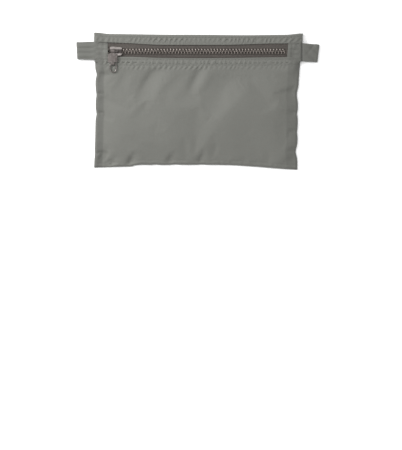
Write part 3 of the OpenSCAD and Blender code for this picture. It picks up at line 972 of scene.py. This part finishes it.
def make_upper_stitching():
    """The two rows that hold the band to the zip tape."""
    paths = []
    for offset in ROW_OFFSETS:
        for u in row_places(-HALF_W + 2, HALF_W - 2):
            paths.append(stitch_path(u, ZIP_Y + offset, 1, 0, band_height))
    piece = mesh_piece("band_stitches", *thread_tubes(paths), thread)
    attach(piece, "pouch")
    finish_piece(piece, "thread", "upper_stitching")


def make_lower_stitching():
    """The two rows that hold the lower lip to the zip tape."""
    paths, weights = [], []
    for offset in ROW_OFFSETS:
        for u in row_places(-HALF_W + 2, HALF_W - 2):
            path = stitch_path(u, ZIP_Y - offset, 1, 0, front_height)
            paths.append(path)
            weights += [lens(u)] * (len(path) * THREAD_SIDES)
    piece = mesh_piece("lip_stitches", *thread_tubes(paths), thread)
    lip_blend(piece, weights)
    finish_piece(piece, "thread", "lower_stitching")


def make_end_stitching(name, node, sign):
    """The short row across one end of the zip."""
    def patch_top(u, v):
        return np.full_like(u, LIP_Z - 0.3)

    paths = []
    for v in row_places(ZIP_Y - 5, ZIP_Y + 5):
        paths.append(stitch_path(sign * (WINDOW_X + END_ROW), v, 0, 1, patch_top))
    piece = mesh_piece(name, *thread_tubes(paths), thread)
    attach(piece, "pouch")
    finish_piece(piece, "thread", node)


# ------------------------------------------------------------------ side loops
LOOP_END = 85.0                     # where the strip ends, inside the seam
LOOP_SAG = 0.3                      # how far the loops droop to the table
RIGHT_DROOP = 0.09                  # how fast the face of the right loop falls outwards
GROOVE_X = 95.6                     # the groove where the right loop leaves the seam, darkened by a painted shadow of the pouch's edge
BEND_FROM, BEND_TO = 94.9, 98.0     # where a lifted loop bends, from the middle of the pouch


def loop_section(low, top, far):
    """The strip seen from its edge: (x, z) out along the table, round the end and back."""
    bend = (top - low) / 2
    section = [(x, low) for x in np.linspace(LOOP_END, far - bend, 26)]
    for angle in np.linspace(-90, 90, 9)[1:-1]:
        a = math.radians(angle)
        section.append((far - bend + bend * math.cos(a), (low + top) / 2 + bend * math.sin(a)))
    return section + [(x, top) for x in np.linspace(far - bend, LOOP_END, 26)]


def make_loop(name, sign, body, nodes):
    """A strip of doubled cloth folded back on itself and sewn into the side seam."""
    low_corner, high_corner = lowest(nodes[0]), highest(nodes[0])
    half = (high_corner[1] - low_corner[1]) / 2
    low, top = low_corner[2] + 0.1, high_corner[2] - 0.1
    far = max(abs(low_corner[0]), abs(high_corner[0]))
    ws = np.linspace(-1, 1, 34)
    grid = []
    for x, z in loop_section(low, top, far):
        out = smooth((x - 95) / 12)
        y = ZIP_Y + ws * half * (1 - 0.02 * out)
        xs = np.full_like(ws, x)
        if sign > 0:
            y = y - 0.7 - 0.07 * max(x - 95, 0)
            fall = 0.9 * hill(x - GROOVE_X, 0.6) + RIGHT_DROOP * max(x - BEND_TO, 0)
            z = z - fall * (z - low) / (top - low)
            xs = xs + out * (0.4 + 0.9 * ws)
            crease = 0.45 * np.sin((xs + 1.1 * (y - ZIP_Y)) * 0.62) * out
            crease = crease - 0.6 * hill(xs - 102 - 0.8 * (y - ZIP_Y), 1.3) * out
        else:
            y = y + 0.7 - 0.2 * ws * out
            xs = xs + out * (0.3 + 0.45 * ws)
            crease = 0.22 * np.cos(ws * 3.5 * math.pi) * smooth((x - 93) / 4)
            crease = crease + 0.20 * noise(xs, y, 5, 61) * out
        edge_seam = -0.14 * hill(abs(ws) - 0.9, 0.03)
        face = 1.0 if z > (low + top) / 2 else -0.2
        sag = LOOP_SAG * smooth((x - HALF_W - 1) / 4) + max(z - 2.1, 0) * (1 - smooth((x - 88) / 4))
        grid.append(np.stack([sign * xs, y, z - sag + (crease + edge_seam * out) * face], -1))
    points = np.array(grid)
    if sign > 0:
        points = points[:, ::-1]
    piece = cloth_piece(name, points, loop_cloth, thickness=LOOP_CLOTH)
    # painted shadow: the pouch's right edge shading the right loop, darkened into its colour along the groove
    set_float(piece, "seam_shade", hill(sign * points[..., 0] - GROOVE_X, 0.7) * (sign > 0))
    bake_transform(piece, "pouch", body, start=(sign * BEND_FROM * MM, 0, 0), end=(sign * BEND_TO * MM, 0, 0))
    finish_piece(piece, "loop_tape", *nodes)


make_front()
make_back()
make_band()
make_end_patch("left_zip_end_patch", -1, "left_zip_end")
make_end_patch("right_zip_end_patch", 1, "right_zip_end")
make_binding("left_binding_tape", "left_seam_binding", (-HALF_W, -HALF_H + 1), (-HALF_W, HALF_H - 3))
make_binding("right_binding_tape", "right_seam_binding", (HALF_W, -HALF_H + 1), (HALF_W, HALF_H - 3))
make_binding("bottom_binding_tape", "bottom_seam_binding", (-HALF_W + 6, -HALF_H), (HALF_W - 6, -HALF_H))
make_tape("upper_zip_tape", "upper_tape", 1)
make_tape("lower_zip_tape", "lower_tape", -1)
make_teeth("upper_tooth_row", "upper_teeth", 1)
make_teeth("lower_tooth_row", "lower_teeth", -1)
make_upper_stitching()
make_lower_stitching()
make_end_stitching("left_end_stitches", "left_end_stitching", -1)
make_end_stitching("right_end_stitches", "right_end_stitching", 1)
make_loop("left_side_strap", -1, "left_loop_fold", ("left_loop", "left_loop_tail"))
make_loop("right_side_strap", 1, "right_loop_fold", ("right_loop", "right_loop_tail"))


# ------------------------------------------------------------------ metal parts kept from the CAD
def dress(node, material, bevel):
    """Gives a CAD node its finish, and rounds its edges by a bevel in millimetres."""
    piece = frame["nodes"][node]
    piece.data.materials.clear()
    piece.data.materials.append(material)
    edge = piece.modifiers.new("rounded edges", "BEVEL")
    edge.width = bevel * MM
    edge.segments = 3
    edge.limit_method = "ANGLE"
    edge.angle_limit = math.radians(35)
    edge.harden_normals = True
    for polygon in piece.data.polygons:
        polygon.use_smooth = True


dress("slider_body", slider_metal, 0.3)
dress("slider_crown", bridge_metal, 0.25)
dress("lock_spring", spring_metal, 0.08)
dress("pull_tab", pull_metal, 0.25)
dress("pull_ring", ring_metal, 0.0)
dress("top_stops", stop_metal, 0.15)
dress("bottom_stop", stop_metal, 0.15)


# ------------------------------------------------------------------ floor, light and camera
def make_floor():
    """A pale sheet of paper, just below the pouch."""
    mesh = bpy.data.meshes.new("floor")
    size = 3.0
    corners = [(-size, -size, 0), (size, -size, 0), (size, size, 0), (-size, size, 0)]
    mesh.from_pydata(corners, [], [(0, 1, 2, 3)])
    floor = bpy.data.objects.new("floor", mesh)
    floor.location.z = -0.0003
    bpy.context.scene.collection.objects.link(floor)
    material, tree, shader = start_material("floor_paper")
    shader.inputs["Base Color"].default_value = (0.93, 0.93, 0.93, 1)
    shader.inputs["Roughness"].default_value = 0.9
    shader.inputs["Specular IOR Level"].default_value = 0.1
    mesh.materials.append(material)


def area_light(name, at, size, power):
    """A round soft light that looks at the middle of the pouch."""
    data = bpy.data.lights.new(name, "AREA")
    data.shape = "DISK"
    data.size = size
    data.energy = power
    light = bpy.data.objects.new(name, data)
    light.location = at
    light.rotation_euler = (-Vector(at)).to_track_quat("-Z", "Y").to_euler()
    bpy.context.scene.collection.objects.link(light)


def make_lights():
    area_light("key", at=(-0.53, 0.265, 0.395), size=0.33, power=5.1)
    area_light("fill", at=(-0.6, 0.6, 2.0), size=1.6, power=16)
    world = bpy.data.worlds.new("studio")
    world.use_nodes = True
    background = world.node_tree.nodes["Background"]
    background.inputs["Color"].default_value = (1, 1, 1, 1)
    background.inputs["Strength"].default_value = 0.88
    bpy.context.scene.world = world


def make_camera():
    """Straight above, with the pouch in the upper half of the frame."""
    distance = 3.0
    frame_height = 0.41175      # what the picture takes in at the height of the zip
    data = bpy.data.cameras.new("camera")
    data.sensor_fit = "VERTICAL"
    data.sensor_height = 36
    data.lens = 36 * (distance - LIP_Z * MM) / frame_height
    data.clip_end = 100
    camera = bpy.data.objects.new("camera", data)
    camera.location = (0.0032, -0.1139, distance)
    bpy.context.scene.collection.objects.link(camera)
    bpy.context.scene.camera = camera


make_floor()
make_lights()
make_camera()
bpy.context.scene.view_settings.view_transform = "Standard"
